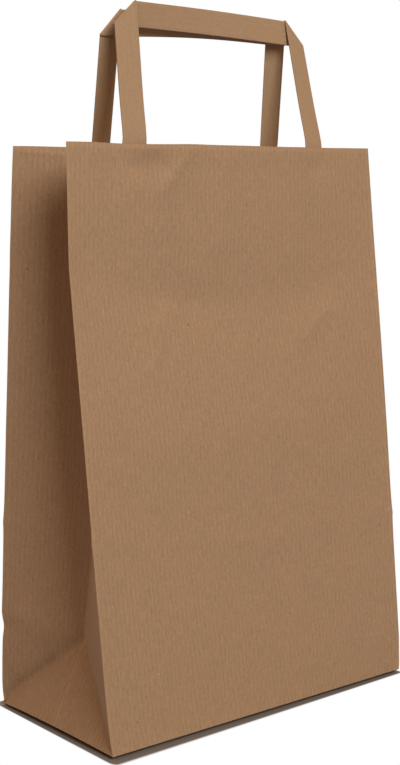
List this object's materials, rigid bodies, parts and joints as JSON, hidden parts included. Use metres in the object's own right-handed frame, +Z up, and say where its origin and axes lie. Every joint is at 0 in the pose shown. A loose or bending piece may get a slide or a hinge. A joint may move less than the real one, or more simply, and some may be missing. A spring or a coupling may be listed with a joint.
{
  "type": "paper carrier bag",
  "caption": "Block-bottom kraft paper carrier bag with folded side gussets and flat folded-strip handles glued inside the front and rear panels.",
  "frame": {"origin": "middle of the rectangular base, on the plane the bag stands on", "axes": "+Z up towards the handles, +X along the front panel to the right, +Y from the front panel towards the rear panel"},
  "size_m": [0.22, 0.11, 0.3956],
  "materials": {
    "ribbed_kraft": "uncoated ribbed brown kraft paper",
    "handle_kraft": "smooth uncoated brown kraft paper, folded in several plies",
    "patch_kraft": "smooth uncoated brown kraft paper"
  },
  "bodies": {
    "root": {"bag_body": "ribbed_kraft", "front_handle": "handle_kraft", "rear_handle": "handle_kraft", "front_handle_patch": "patch_kraft", "rear_handle_patch": "patch_kraft"}
  },
  "joints": []
}
